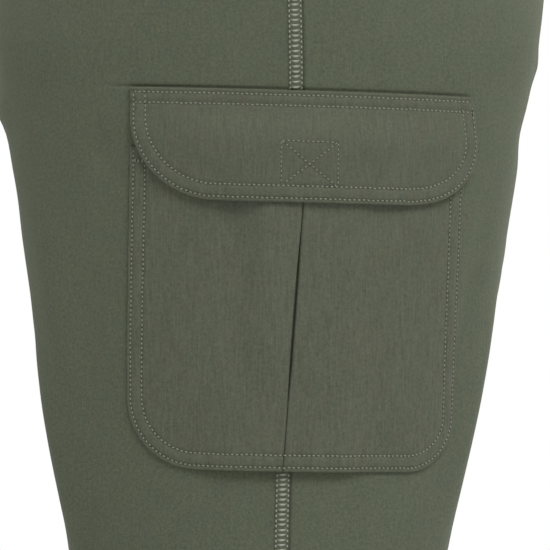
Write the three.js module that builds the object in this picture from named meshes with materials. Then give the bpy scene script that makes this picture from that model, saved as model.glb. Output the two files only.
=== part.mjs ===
// Cargo shorts, filled out as when they are worn, with nobody in them.
// Millimetres, +Z up. The front faces -Y, and the wearer's right leg is on the -X side.
// The origin is the middle of the waist's top edge, where the wearer holds them up.
import * as THREE from "three";

// Cloth
const CLOTH = 1.2; // wall of a leg panel
const SEWN_GAP = 0.3; // between two pieces that are sewn together
const HEM_HEIGHT = 22; // turned up inside the leg, so the wall is double there
const HEM_STEP = 1; // height over which the wall becomes double

// Levels
const BAND_HEIGHT = 45;
const CROTCH_Z = -255;
const HEM_Z = -535;

// One half of the garment at each level. outer is how far its outer side is from the middle
// plane, and inner how far it would reach past that plane, below 0 where the legs have parted.
// centreY is the middle of its depth, and seamY is where its side seam lies.
const SECTIONS = [
  { z: 0, outer: 160, inner: 160, halfDepth: 122, centreY: 0, seamY: -9 },
  { z: -45, outer: 167, inner: 167, halfDepth: 127, centreY: 1, seamY: -10 },
  { z: -110, outer: 181, inner: 181, halfDepth: 139, centreY: 2.5, seamY: -11.5 },
  { z: -150, outer: 187, inner: 172, halfDepth: 144, centreY: 3.2, seamY: -12.2 },
  { z: -165, outer: 188.5, inner: 155, halfDepth: 145.3, centreY: 3.5, seamY: -12.4 },
  { z: -180, outer: 189.5, inner: 131, halfDepth: 146.2, centreY: 3.7, seamY: -12.6 },
  { z: -195, outer: 190, inner: 103, halfDepth: 146.4, centreY: 4, seamY: -12.8 },
  { z: -210, outer: 190, inner: 73, halfDepth: 146, centreY: 4.2, seamY: -13 },
  { z: -225, outer: 189.5, inner: 45, halfDepth: 144.6, centreY: 4.4, seamY: -13.2 },
  { z: -240, outer: 188.7, inner: 20, halfDepth: 142.7, centreY: 4.6, seamY: -13.5 },
  { z: CROTCH_Z, outer: 187.5, inner: -0.3, halfDepth: 140.2, centreY: 4.7, seamY: -13.8 },
  { z: -279, outer: 185, inner: -6, halfDepth: 136, centreY: 4.9, seamY: -14 },
  { z: -331, outer: 180.5, inner: -14, halfDepth: 128, centreY: 5.3, seamY: -12.3 },
  { z: -383, outer: 176, inner: -20, halfDepth: 119.7, centreY: 6.2, seamY: -10.5 },
  { z: -435, outer: 171.5, inner: -26, halfDepth: 111.2, centreY: 7.3, seamY: -8.8 },
  { z: -487, outer: 167, inner: -32, halfDepth: 102, centreY: 8.3, seamY: -7.2 },
  { z: HEM_Z, outer: 163, inner: -37, halfDepth: 93.5, centreY: 8.9, seamY: -6.5 },
];

// Above the crotch the cloth spans the hollow between the thighs, so the inner side of the
// oval is fuller there. Its power is 2 on the legs, as on an ellipse.
const SEAT_POWER = 3;
const SEAT_START = CROTCH_Z - 10;
const SEAT_FULL = CROTCH_Z + 25;

// Levels of a panel's rows, closer together at the crotch and at the hem's step.
const HEM_FOLD_Z = HEM_Z + HEM_HEIGHT;
const PANEL_LEVELS = [
  -BAND_HEIGHT - SEWN_GAP, -85, -125, -155, -180, -203, -222, -237, -248, CROTCH_Z,
  -285, -330, -375, -420, -465, HEM_FOLD_Z + HEM_STEP, HEM_FOLD_Z, HEM_Z,
];
const PANEL_COLUMNS = 16;
const FINE_SHARE = 0.36; // share of a panel's round that lies under the pocket
const FINE_COLUMNS = 9; // columns in that share

// Waistband: a sewn loop of elastic in cloth
const BAND_THICK = 3;
const BAND_PROUD = 0.8; // how far it stands out from the panels
const BAND_SIDES = 40;

// Pocket: one cloth with an inverted box pleat, sewn down at its sides and bottom
const POCKET_CLOTH = 1;
const LAYER_GAP = 0.3; // between the layers of the pleat
const SEAT_GAP = 0.8; // between a panel and what lies on it
const PLEAT_DEPTH = 24; // how far the cloth goes under on each side of the slit
const SLIT_HALF = 0.4; // half the slit's width
const PLEAT_RAMP = 12; // over which the face comes down beside the pleat
const FACE_STOPS = 5; // stops across a face or the underlay
const LAP_STOPS = 3; // stops across each narrower layer of the pleat
const FOLD_TURNS = [Math.PI / 3, (2 * Math.PI) / 3]; // stops round a fold
const FACE_LAP = PLEAT_DEPTH + 2; // how far the face stays high beside the slit
const POCKET = {
  top: -307,
  bottom: -468.2,
  tilt: 0.02,
  back: [{ z: -307, y: 72.2 }, { z: -360, y: 73 }, { z: -468, y: 74 }],
  front: [{ z: -307, y: -95 }, { z: -360, y: -93.2 }, { z: -468, y: -89 }],
  backCorner: { across: 33.5, up: 35, power: 2 },
  frontCorner: { across: 22.8, up: 28, power: 2 },
};
const POCKET_LEVELS = [-307, -321, -336, -352, -369, -386, -403, -420, -434, -446, -456, -463, -468.2];
const SLIT = [{ z: -307, y: -15.8 }, { z: -468, y: -3.5 }];

// Flap: double cloth, sewn to the leg along its top edge and lying over the pocket's mouth
const FLAP_CLOTH = 1.8;
const FLAP = {
  top: -278.2,
  bottom: -332.3,
  tilt: 0.028,
  back: [{ z: -278, y: 72 }, { z: -332, y: 71.7 }],
  front: [{ z: -278, y: -98.5 }, { z: -284, y: -100 }, { z: -332, y: -100 }],
  backCorner: { across: 41.7, up: 43, power: 2 },
  frontCorner: { across: 37, up: 36, power: 2.5 },
};
const FLAP_LEVELS = [-278.2, -286, -296, -306, -316, -324, -329, -332.3];
const FLAP_COLUMNS = 14;
const FLAP_SEWN = 6; // height of the strip along its top edge that is sewn flat
const FLAP_RISE = 16; // height over which it rises on to the pocket

const HALF_GAP = SEWN_GAP / 2;
const HALVINGS = 40;
const INNER_START = Math.PI / 2 - 0.01; // just before the inner quarter
const ROUGHNESS = 0.9;
const COLOURS = { leg: 0x5b6152, pocket: 0x595f50, flap: 0x5e6354, band: 0x575d4e };

// The value of a table's column at a level, on a smooth curve through the rows.
function valueAt(rows, column, z) {
  const last = rows.length - 1;
  let i = 0;
  while (i < last - 1 && z < rows[i + 1].z) i += 1;
  const slope = (a, b) => (rows[b][column] - rows[a][column]) / (rows[b].z - rows[a].z);
  const tangent = (k) => slope(Math.max(k - 1, 0), Math.min(k + 1, last));
  const step = rows[i + 1].z - rows[i].z;
  const t = THREE.MathUtils.clamp((z - rows[i].z) / step, 0, 1);
  const near = rows[i][column];
  const far = rows[i + 1][column];
  const a = tangent(i) * step;
  const b = tangent(i + 1) * step;
  const t2 = t * t;
  const t3 = t2 * t;
  return near * (2 * t3 - 3 * t2 + 1) + a * (t3 - 2 * t2 + t) + far * (3 * t2 - 2 * t3) + b * (t3 - t2);
}

// The oval of the right half at a level.
function ovalAt(z) {
  const outer = valueAt(SECTIONS, "outer", z);
  const inner = Math.min(valueAt(SECTIONS, "inner", z), outer);
  return {
    middleX: (inner - outer) / 2,
    halfWidth: (inner + outer) / 2,
    halfDepth: valueAt(SECTIONS, "halfDepth", z),
    centreY: valueAt(SECTIONS, "centreY", z),
    seamY: valueAt(SECTIONS, "seamY", z),
    innerPower: 2 + (SEAT_POWER - 2) * THREE.MathUtils.smoothstep(z, SEAT_START, SEAT_FULL),
  };
}

// A point on the right half's surface: angle 0 is its outer side, and a quarter turn its front.
function surfacePoint(angle, z) {
  const o = ovalAt(z);
  const across = Math.cos(angle);
  const along = Math.sin(angle);
  const power = across < 0 ? o.innerPower : 2;
  const swell = Math.pow(Math.abs(across) ** power + Math.abs(along) ** power, -1 / power);
  const x = o.middleX - o.halfWidth * across * swell;
  const y = o.centreY - o.halfDepth * along * swell;
  return new THREE.Vector3(x, y, z);
}

// The surface's outward direction there, from its slopes along the angle and the height.
function surfaceNormal(angle, z) {
  const turn = 1e-3;
  const rise = 0.5;
  const round = surfacePoint(angle + turn, z).sub(surfacePoint(angle - turn, z));
  const up = surfacePoint(angle, z + rise).sub(surfacePoint(angle, z - rise));
  return round.cross(up).normalize();
}

// The point at a height above the surface.
function raisedPoint(angle, z, height) {
  return surfacePoint(angle, z).addScaledVector(surfaceNormal(angle, z), height);
}

// The angle of the point on the outer side that has this y.
function angleOfY(y, z) {
  const o = ovalAt(z);
  return Math.asin(THREE.MathUtils.clamp((o.centreY - y) / o.halfDepth, -1, 1));
}

// A closed wall between two grids of points, rows by columns.
// closedRound joins the last column to the first.
function wall(outside, inside, closedRound = false) {
  const rows = outside.length;
  const columns = outside[0].length;
  const positions = [...outside.flat(), ...inside.flat()].flatMap((p) => p.toArray());
  const index = [];
  const at = (layer, r, c) => layer * rows * columns + r * columns + (c % columns);
  const quad = (a, b, c, d) => index.push(a, b, c, a, c, d);
  const spans = closedRound ? columns : columns - 1;
  for (let r = 0; r < rows - 1; r += 1) {
    for (let c = 0; c < spans; c += 1) {
      quad(at(0, r, c), at(0, r + 1, c), at(0, r + 1, c + 1), at(0, r, c + 1));
      quad(at(1, r, c), at(1, r, c + 1), at(1, r + 1, c + 1), at(1, r + 1, c));
    }
  }
  for (let c = 0; c < spans; c += 1) {
    quad(at(0, 0, c), at(0, 0, c + 1), at(1, 0, c + 1), at(1, 0, c));
    quad(at(0, rows - 1, c + 1), at(0, rows - 1, c), at(1, rows - 1, c), at(1, rows - 1, c + 1));
  }
  if (!closedRound) {
    const end = columns - 1;
    for (let r = 0; r < rows - 1; r += 1) {
      quad(at(0, r + 1, 0), at(0, r, 0), at(1, r, 0), at(1, r + 1, 0));
      quad(at(0, r, end), at(0, r + 1, end), at(1, r + 1, end), at(1, r, end));
    }
  }
  const geometry = new THREE.BufferGeometry();
  geometry.setAttribute("position", new THREE.Float32BufferAttribute(positions, 3));
  geometry.setIndex(index);
  return geometry;
}

// The same piece for the other leg, with its faces turned so that they point out again.
function mirrored(geometry) {
  const copy = geometry.clone().scale(-1, 1, 1);
  const corners = copy.index.array;
  for (let i = 0; i < corners.length; i += 3) {
    [corners[i], corners[i + 1]] = [corners[i + 1], corners[i]];
  }
  return copy;
}

// The angle at which the surface comes to the middle plane, found by halving the inner quarter.
function angleToMiddle(z) {
  let low = INNER_START;
  let high = Math.PI;
  for (let i = 0; i < HALVINGS; i += 1) {
    const middle = (low + high) / 2;
    if (surfacePoint(middle, z).x < -HALF_GAP) low = middle;
    else high = middle;
  }
  return low;
}

// The angles between which a panel of the right half lies at a level. side is 1 for the front
// and -1 for the back. It starts at the side seam, and ends at the inseam or at the middle plane.
function panelEnds(side, z) {
  const o = ovalAt(z);
  const gapTurn = HALF_GAP / o.halfDepth;
  const start = side * Math.asin((o.centreY - o.seamY) / o.halfDepth) + gapTurn;
  return { start, end: Math.min(angleToMiddle(z), Math.PI - gapTurn) };
}

// Columns are closer together in the share that lies under the pocket.
function panelShare(column) {
  if (column <= FINE_COLUMNS) return (FINE_SHARE * column) / FINE_COLUMNS;
  const rest = (column - FINE_COLUMNS) / (PANEL_COLUMNS - FINE_COLUMNS);
  return FINE_SHARE + (1 - FINE_SHARE) * rest;
}

function panelGeometry(side) {
  const layer = (depthAt) =>
    PANEL_LEVELS.map((z) => {
      const ends = panelEnds(side, z);
      return Array.from({ length: PANEL_COLUMNS + 1 }, (_, c) => {
        const angle = THREE.MathUtils.lerp(ends.start, ends.end, panelShare(c));
        return raisedPoint(side * angle, z, -depthAt(z));
      });
    });
  const outside = layer(() => 0);
  const inside = layer((z) => (z <= HEM_FOLD_Z ? 2 * CLOTH : CLOTH));
  return side > 0 ? wall(outside, inside) : wall(inside, outside);
}

function waistbandGeometry() {
  const ring = (z, height) =>
    Array.from({ length: BAND_SIDES }, (_, i) => {
      const angle = (2 * Math.PI * i) / BAND_SIDES;
      const o = ovalAt(z);
      const away = new THREE.Vector3(Math.cos(angle) * o.halfDepth, Math.sin(angle) * o.halfWidth, 0);
      return surfacePoint(angle, z).addScaledVector(away.normalize(), -height);
    });
  const levels = [0, -BAND_HEIGHT];
  const outside = levels.map((z) => ring(z, BAND_PROUD));
  const inside = levels.map((z) => ring(z, BAND_PROUD - BAND_THICK));
  return wall(outside, inside, true);
}

// Where a piece's side edge lies at a level: its table, drawn in by the rounded bottom corner.
function edgeY(piece, side, z) {
  const y = valueAt(piece[side], "y", z);
  const corner = piece[side + "Corner"];
  const below = (piece.bottom + corner.up - z) / corner.up;
  if (below <= 0) return y;
  const turned = Math.pow(Math.max(1 - Math.pow(below, corner.power), 0), 1 / corner.power);
  const inward = side === "back" ? -1 : 1;
  return y + inward * corner.across * (1 - turned);
}

// A point above the leg's outer side, with the piece's rows tilted a little along the leg.
function onLeg(piece, y, z, height) {
  const level = z + piece.tilt * y;
  return raisedPoint(angleOfY(y, level), level, height);
}

// The run of the pocket's cloth across one level, from its back edge to its front edge.
// Each stop has its place across, the height of the cloth's middle above the leg,
// and which way the cloth's outer side faces, across and up.
function pocketRun(z) {
  const low = SEAT_GAP + POCKET_CLOTH / 2;
  const pitch = POCKET_CLOTH + LAYER_GAP;
  const middle = low + pitch;
  const high = middle + pitch;
  const radius = pitch / 2;
  const slit = valueAt(SLIT, "y", z);
  const stops = [];
  const flat = (from, to, count, height, facing) => {
    for (let i = 0; i < count; i += 1) {
      const y = THREE.MathUtils.lerp(from, to, i / (count - 1));
      stops.push({ y, height, across: 0, up: facing });
    }
  };
  // A half turn about a centre; towards is the side it bulges to, and rise the way it goes.
  const fold = (centre, height, towards, rise, facing) => {
    for (const turn of FOLD_TURNS) {
      const across = towards * Math.sin(turn);
      const up = -rise * Math.cos(turn);
      const place = { y: centre + radius * across, height: height + radius * up };
      stops.push({ ...place, across: facing * across, up: facing * up });
    }
  };
  const bend = slit + SLIT_HALF + POCKET_CLOTH / 2 + radius;
  const far = slit + PLEAT_DEPTH;
  const bendFront = 2 * slit - bend;
  const farFront = 2 * slit - far;
  flat(edgeY(POCKET, "back", z), slit + FACE_LAP + PLEAT_RAMP, FACE_STOPS, low, 1);
  flat(slit + FACE_LAP, bend, LAP_STOPS, high, 1);
  fold(bend, (high + middle) / 2, -1, -1, 1);
  flat(bend, far, LAP_STOPS, middle, -1);
  fold(far, (middle + low) / 2, 1, -1, -1);
  flat(far, farFront, FACE_STOPS, low, 1);
  fold(farFront, (middle + low) / 2, -1, 1, -1);
  flat(farFront, bendFront, LAP_STOPS, middle, -1);
  fold(bendFront, (high + middle) / 2, 1, 1, 1);
  flat(bendFront, slit - FACE_LAP, LAP_STOPS, high, 1);
  flat(slit - FACE_LAP - PLEAT_RAMP, edgeY(POCKET, "front", z), FACE_STOPS, low, 1);
  return stops;
}

function pocketGeometry() {
  const layer = (shift) =>
    POCKET_LEVELS.map((z) =>
      pocketRun(z).map((s) => onLeg(POCKET, s.y + s.across * shift, z, s.height + s.up * shift)),
    );
  return wall(layer(POCKET_CLOTH / 2), layer(-POCKET_CLOTH / 2));
}

// How high the flap's middle lies: flat where it is sewn, then over the pocket and its pleat.
function flapHeight(y, z) {
  const rise = THREE.MathUtils.smoothstep(FLAP.top - FLAP_SEWN - z, 0, FLAP_RISE);
  const fromSlit = Math.abs(y - valueAt(SLIT, "y", POCKET.top));
  const clear = PLEAT_DEPTH + PLEAT_RAMP;
  const beside = THREE.MathUtils.smoothstep(fromSlit, clear, clear + 2 * PLEAT_RAMP);
  const pleat = 2 * (POCKET_CLOTH + LAYER_GAP) * (1 - beside);
  const overPocket = POCKET_CLOTH + 2 * LAYER_GAP + pleat;
  return SEAT_GAP + FLAP_CLOTH / 2 + rise * overPocket;
}

function flapGeometry() {
  const layer = (shift) =>
    FLAP_LEVELS.map((z) =>
      Array.from({ length: FLAP_COLUMNS + 1 }, (_, c) => {
        const y = THREE.MathUtils.lerp(edgeY(FLAP, "back", z), edgeY(FLAP, "front", z), c / FLAP_COLUMNS);
        return onLeg(FLAP, y, z, flapHeight(y, z) + shift);
      }),
    );
  return wall(layer(FLAP_CLOTH / 2), layer(-FLAP_CLOTH / 2));
}

function piece(name, geometry, colour) {
  const material = new THREE.MeshStandardMaterial({ color: colour, roughness: ROUGHNESS, metalness: 0 });
  const mesh = new THREE.Mesh(geometry, material);
  mesh.name = name;
  return mesh;
}

const group = new THREE.Group();
group.add(piece("waistband", waistbandGeometry(), COLOURS.band));
const PAIRS = [
  { name: "front", geometry: panelGeometry(1), colour: COLOURS.leg },
  { name: "back", geometry: panelGeometry(-1), colour: COLOURS.leg },
  { name: "pocket", geometry: pocketGeometry(), colour: COLOURS.pocket },
  { name: "flap", geometry: flapGeometry(), colour: COLOURS.flap },
];
for (const { name, geometry, colour } of PAIRS) {
  group.add(piece(name + "_right", geometry, colour));
  group.add(piece(name + "_left", mirrored(geometry), colour));
}

export default group;
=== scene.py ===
"""Cargo shorts, filled out as when they are worn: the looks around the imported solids.

The cloth is built from the same section table as the solids, as fine thin shells, with seams,
pleat, creases, gathers and stitches in the mesh. Sizes below are in millimetres and become
metres when a mesh is made. The right leg is built, and the left one is its mirror image.
"""

import bpy
import numpy as np
from mathutils import Matrix, Vector

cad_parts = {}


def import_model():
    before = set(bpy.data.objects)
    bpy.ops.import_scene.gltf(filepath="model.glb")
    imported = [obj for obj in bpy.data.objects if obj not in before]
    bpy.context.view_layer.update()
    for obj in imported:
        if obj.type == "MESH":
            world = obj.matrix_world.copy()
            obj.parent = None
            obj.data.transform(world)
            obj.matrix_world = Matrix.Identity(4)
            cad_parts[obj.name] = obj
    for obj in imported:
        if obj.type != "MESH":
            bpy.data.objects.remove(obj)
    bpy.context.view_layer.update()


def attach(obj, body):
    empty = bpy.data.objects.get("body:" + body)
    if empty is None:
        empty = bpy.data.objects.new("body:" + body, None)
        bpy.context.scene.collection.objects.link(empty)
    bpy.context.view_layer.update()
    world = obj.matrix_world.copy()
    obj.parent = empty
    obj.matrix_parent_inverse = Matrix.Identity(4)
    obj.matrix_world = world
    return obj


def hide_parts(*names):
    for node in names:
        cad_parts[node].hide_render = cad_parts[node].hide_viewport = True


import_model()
MM = 0.001

# ---- sizes, as in the solids, in mm

CROTCH_Z = -255.0
HEM_Z = -535.0
BAND_HEIGHT = 45.0
SEWN_GAP = 0.04  # between sewn panels; closer than in the solids, so that no light comes through
HEM_HEIGHT = 22.0
# Each row is one half of the garment at a level: z, how far its outer side is from the middle
# plane, how far it would reach past that plane, half its depth, its middle y and its side seam's y.
SECTIONS = np.array([
    (0, 160, 160, 122, 0, -9),
    (-45, 167, 167, 127, 1, -10),
    (-110, 181, 181, 139, 2.5, -11.5),
    (-150, 187, 172, 144, 3.2, -12.2),
    (-165, 188.5, 155, 145.3, 3.5, -12.4),
    (-180, 189.5, 131, 146.2, 3.7, -12.6),
    (-195, 190, 103, 146.4, 4, -12.8),
    (-210, 190, 73, 146, 4.2, -13),
    (-225, 189.5, 45, 144.6, 4.4, -13.2),
    (-240, 188.7, 20, 142.7, 4.6, -13.5),
    (CROTCH_Z, 187.5, -0.3, 140.2, 4.7, -13.8),
    (-279, 185, -6, 136, 4.9, -14),
    (-331, 180.5, -14, 128, 5.3, -12.3),
    (-383, 176, -20, 119.7, 6.2, -10.5),
    (-435, 171.5, -26, 111.2, 7.3, -8.8),
    (-487, 167, -32, 102, 8.3, -7.2),
    (HEM_Z, 163, -37, 93.5, 8.9, -6.5),
])
OUTER, INNER, HALF_DEPTH, CENTRE_Y, SEAM_Y = 1, 2, 3, 4, 5  # columns
SEAT_POWER = 3.0  # of the oval's inner side above the crotch; it is 2 on the legs
SEAT_START = CROTCH_Z - 10
SEAT_FULL = CROTCH_Z + 25
CLOTH = 1.1  # wall of a leg panel

# A patch's side edges and the slit are rows of level and y.
POCKET_TOP, POCKET_BOTTOM, POCKET_TILT = -307.0, -468.2, 0.02
POCKET_BACK = np.array([(-307, 72.2), (-360, 73.2), (-410, 74.0), (-468, 73.8)])
POCKET_FRONT = np.array([(-307, -95.2), (-360, -93.2), (-410, -91.0), (-468, -89.0)])
POCKET_CORNERS = (33.5, 35.0, 2.0), (22.8, 28.0, 2.0)  # back and front: across, up, power
SLIT = np.array([(-307, -15.8), (-353, -12.1), (-399, -8.6), (-468, -3.6)])
POCKET_CLOTH = 1.0
LAYER_GAP = 0.3  # between the layers of the pleat
SEAT_GAP = 0.8  # between a panel and what lies on it
PLEAT_DEPTH = 24.0  # how far the cloth goes under on each side of the slit

FLAP_TOP, FLAP_BOTTOM, FLAP_TILT = -277.6, -332.9, 0.026
FLAP_BACK = np.array([(-278, 72.3), (-284, 71.8), (-332, 71.7)])
FLAP_FRONT = np.array([(-278, -98.5), (-284, -100.0), (-332, -100.0)])
FLAP_CORNERS = (41.7, 43.0, 2.0), (37.0, 36.5, 2.4)
FLAP_CLOTH = 1.8

OUTER_ROW = 2.0  # the twin needle rows, from an edge
INNER_ROW = 8.2
TOP_ROWS = (2.3, 7.5)  # the rows that sew the flap on, from its top edge
PITCH = 2.35  # of the needle
RNG = np.random.default_rng(7)


# ---- curves and the leg's surface

def through(table, z, column=1):
    """The value of a table's column at levels z, on a smooth curve through its rows."""
    z = np.asarray(z, float)
    levels, values = table[:, 0], table[:, column]
    last = len(levels) - 1
    k = np.arange(last + 1)
    before, after = np.maximum(k - 1, 0), np.minimum(k + 1, last)
    tangents = (values[after] - values[before]) / (levels[after] - levels[before])
    i = np.clip(np.searchsorted(-levels, -z, side="right") - 1, 0, last - 1)
    step = levels[i + 1] - levels[i]
    t = np.clip((z - levels[i]) / step, 0, 1)
    near, far = values[i], values[i + 1]
    a, b = tangents[i] * step, tangents[i + 1] * step
    from_near = near * (2 * t**3 - 3 * t**2 + 1) + a * (t**3 - 2 * t**2 + t)
    from_far = far * (3 * t**2 - 2 * t**3) + b * (t**3 - t**2)
    return from_near + from_far


def ramp(x, low, high):
    """0 below low, 1 above high, and smooth between."""
    t = np.clip((np.asarray(x, float) - low) / (high - low), 0, 1)
    return t * t * (3 - 2 * t)


def bump_at(x, centre, width):
    """1 at the centre, falling smoothly to about a third one width away."""
    return np.exp(-(((np.asarray(x, float) - centre) / width) ** 2))


def section(z):
    """The oval of the right half: middle x, half width, half depth, middle y and inner power."""
    outer = through(SECTIONS, z, OUTER)
    inner = np.minimum(through(SECTIONS, z, INNER), outer)
    half_depth = through(SECTIONS, z, HALF_DEPTH)
    power = 2 + (SEAT_POWER - 2) * ramp(z, SEAT_START, SEAT_FULL)
    return (inner - outer) / 2, (inner + outer) / 2, half_depth, through(SECTIONS, z, CENTRE_Y), power


def surface(angle, z):
    """Points of the right half: angle 0 is its outer side and a quarter turn its front."""
    middle, half_width, half_depth, centre_y, inner_power = section(z)
    across, along = np.cos(angle), np.sin(angle)
    power = np.where(across < 0, inner_power, 2.0)
    swell = (np.abs(across) ** power + np.abs(along) ** power) ** (-1 / power)
    x = middle - half_width * across * swell
    y = centre_y - half_depth * along * swell
    return np.stack(np.broadcast_arrays(x, y, z), axis=-1).astype(float)


def normals(angle, z):
    """Outward directions, from the slopes along the angle and the height."""
    turn, rise = 1e-3, 0.5
    around = surface(angle + turn, z) - surface(angle - turn, z)
    up = surface(angle, z + rise) - surface(angle, z - rise)
    n = np.cross(around, up)
    return n / np.linalg.norm(n, axis=-1, keepdims=True)


# Arc length across the outer side, from the line y = 0: u grows towards the back.
# The maps between u and the angle have rows of these levels.
MAP_Z = np.arange(HEM_Z - 5, 0.1, 2.0)
MAP_ANGLE = np.radians(np.linspace(-88, 88, 353))
MAP_U = np.linspace(-190, 190, 761)


def arc_maps():
    """The angle at each u, and u at each angle, level by level."""
    angle_of_u, u_of_angle = [], []
    for z in MAP_Z:
        p = surface(MAP_ANGLE, np.full_like(MAP_ANGLE, z))
        along = np.concatenate([[0], np.cumsum(np.linalg.norm(np.diff(p, axis=0), axis=1))])
        u = np.interp(0.0, -p[:, 1], along) - along
        u_of_angle.append(u)
        angle_of_u.append(np.interp(MAP_U, u[::-1], MAP_ANGLE[::-1]))
    return np.array(angle_of_u), np.array(u_of_angle)


ANGLE_OF_U, U_OF_ANGLE = arc_maps()


def look_up(grid, rows, columns, z, value):
    """Reads a grid between its points; rows and columns are evenly spaced."""
    r = np.clip((z - rows[0]) / (rows[1] - rows[0]), 0, len(rows) - 1.001)
    c = np.clip((value - columns[0]) / (columns[1] - columns[0]), 0, len(columns) - 1.001)
    r0, c0 = r.astype(int), c.astype(int)
    fr, fc = r - r0, c - c0
    low = grid[r0, c0] * (1 - fc) + grid[r0, c0 + 1] * fc
    high = grid[r0 + 1, c0] * (1 - fc) + grid[r0 + 1, c0 + 1] * fc
    return low * (1 - fr) + high * fr


def angle_at(u, z):
    """The angle of the outer side's point with this u."""
    u, z = np.broadcast_arrays(np.asarray(u, float), np.asarray(z, float))
    return look_up(ANGLE_OF_U, MAP_Z, MAP_U, z, u)


def u_at(y, z):
    """u of the outer side's point with this y."""
    y, z = np.broadcast_arrays(np.asarray(y, float), np.asarray(z, float))
    _, _, half_depth, centre_y, _ = section(z)
    angle = np.arcsin(np.clip((centre_y - y) / half_depth, -1, 1))
    return look_up(U_OF_ANGLE, MAP_Z, MAP_ANGLE, z, angle)


def on_leg(u, z, height):
    """Points at a height above the outer side."""
    angle = angle_at(u, z)
    u, z = np.broadcast_arrays(u, z)
    return surface(angle, z) + normals(angle, z) * np.asarray(height)[..., None]


# ---- meshes

def mesh_object(name, points, faces, material, cloth=None, mirror=False, sharp=55, shade=None):
    """A smooth mesh of quads. cloth places the knit; shade is a share per point, 0 for painted shade in
    the needle holes and 1 for a stitch's own colour.
    """
    points = np.array(points, float)
    faces = np.array(faces)
    if mirror:
        points = points * (-1, 1, 1)
        faces = faces[:, ::-1]
    mesh = bpy.data.meshes.new(name)
    mesh.vertices.add(len(points))
    mesh.vertices.foreach_set("co", (points * MM).astype(np.float32).ravel())
    mesh.loops.add(faces.size)
    mesh.loops.foreach_set("vertex_index", faces.astype(np.int32).ravel())
    mesh.polygons.add(len(faces))
    mesh.polygons.foreach_set("loop_start", np.arange(0, faces.size, faces.shape[1], dtype=np.int32))
    mesh.polygons.foreach_set("use_smooth", np.ones(len(faces), bool))
    mesh.update(calc_edges=True)
    mesh.validate()
    if sharp:
        mesh.set_sharp_from_angle(angle=np.radians(sharp))
    if cloth is not None:
        attribute = mesh.attributes.new("cloth", "FLOAT_VECTOR", "POINT")
        attribute.data.foreach_set("vector", (np.array(cloth, float) * MM).astype(np.float32).ravel())
    if shade is not None:
        attribute = mesh.attributes.new("shade", "FLOAT", "POINT")
        attribute.data.foreach_set("value", np.array(shade, np.float32))
    mesh.materials.append(material)
    obj = bpy.data.objects.new(name, mesh)
    bpy.context.scene.collection.objects.link(obj)
    return obj


def leg_name(mirror):
    return "_left" if mirror else "_right"


def stitch_object(name, parts, material, mirror=False):
    """One mesh of many stitches, in their thread's own colour in the middle and painted shade at the
    ends, where they dive into the needle holes.
    """
    points, faces = joined(parts)
    light = np.repeat(STITCH_PAINTED_LIGHT, STITCH_SIDES)
    shade = np.tile(light, len(points) // len(light))
    return mesh_object(name, points, faces, material, mirror=mirror, sharp=0, shade=shade)


def wall_faces(rows, columns, closed_round=False):
    """The quads of a closed wall between an outside and an inside grid."""
    spans = columns if closed_round else columns - 1
    r, c = np.meshgrid(np.arange(rows - 1), np.arange(spans), indexing="ij")
    r, c = r.ravel(), c.ravel()
    half = rows * columns

    def at(layer, row, column):
        return layer * half + row * columns + column % columns

    def quads(*corners):
        return np.stack(np.broadcast_arrays(*corners), axis=1)

    found = [
        quads(at(0, r, c), at(0, r + 1, c), at(0, r + 1, c + 1), at(0, r, c + 1)),
        quads(at(1, r, c), at(1, r, c + 1), at(1, r + 1, c + 1), at(1, r + 1, c)),
    ]
    c = np.arange(spans)
    end = rows - 1
    found.append(quads(at(0, 0, c), at(0, 0, c + 1), at(1, 0, c + 1), at(1, 0, c)))
    found.append(quads(at(0, end, c + 1), at(0, end, c), at(1, end, c), at(1, end, c + 1)))
    if not closed_round:
        r = np.arange(rows - 1)
        last = columns - 1
        found.append(quads(at(0, r + 1, 0), at(0, r, 0), at(1, r, 0), at(1, r + 1, 0)))
        found.append(quads(at(0, r, last), at(0, r + 1, last), at(1, r + 1, last), at(1, r, last)))
    return np.concatenate(found)


def wall_object(name, outside, inside, material, cloth, mirror=False, closed_round=False):
    """A closed wall, whose two grids share their place in the cloth."""
    rows, columns = outside.shape[:2]
    points = np.concatenate([outside.reshape(-1, 3), inside.reshape(-1, 3)])
    both = np.concatenate([cloth.reshape(-1, 3), cloth.reshape(-1, 3)])
    return mesh_object(name, points, wall_faces(rows, columns, closed_round), material, both, mirror)


STITCH_RINGS = 6
STITCH_SIDES = 6
STITCH_PAINTED_LIGHT = (0, 0.35, 1, 1, 0.35, 0)  # of each ring: 0 is painted shade for the needle hole's shadow, 1 the thread's own colour on the cloth
STITCH_SINK = 0.15  # how far its ends sink, as a share of its radius
STITCH_FLAT = 0.8  # its height as a share of its width
STITCH_THINNEST = 0.3  # its ends' section as a share of its middle's


def stitch_faces():
    """The quads of one stitch: round its sides, then over its two ends."""
    faces = []
    for k in range(STITCH_RINGS - 1):
        a, b = k * STITCH_SIDES, (k + 1) * STITCH_SIDES
        for s in range(STITCH_SIDES):
            n = (s + 1) % STITCH_SIDES
            faces.append((a + s, b + s, b + n, a + n))
    last = (STITCH_RINGS - 1) * STITCH_SIDES
    for s in range(1, STITCH_SIDES - 1, 2):
        faces.append((s + 2, s + 1, s, 0))
        faces.append((last, last + s, last + s + 1, last + s + 2))
    return np.array(faces)


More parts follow.
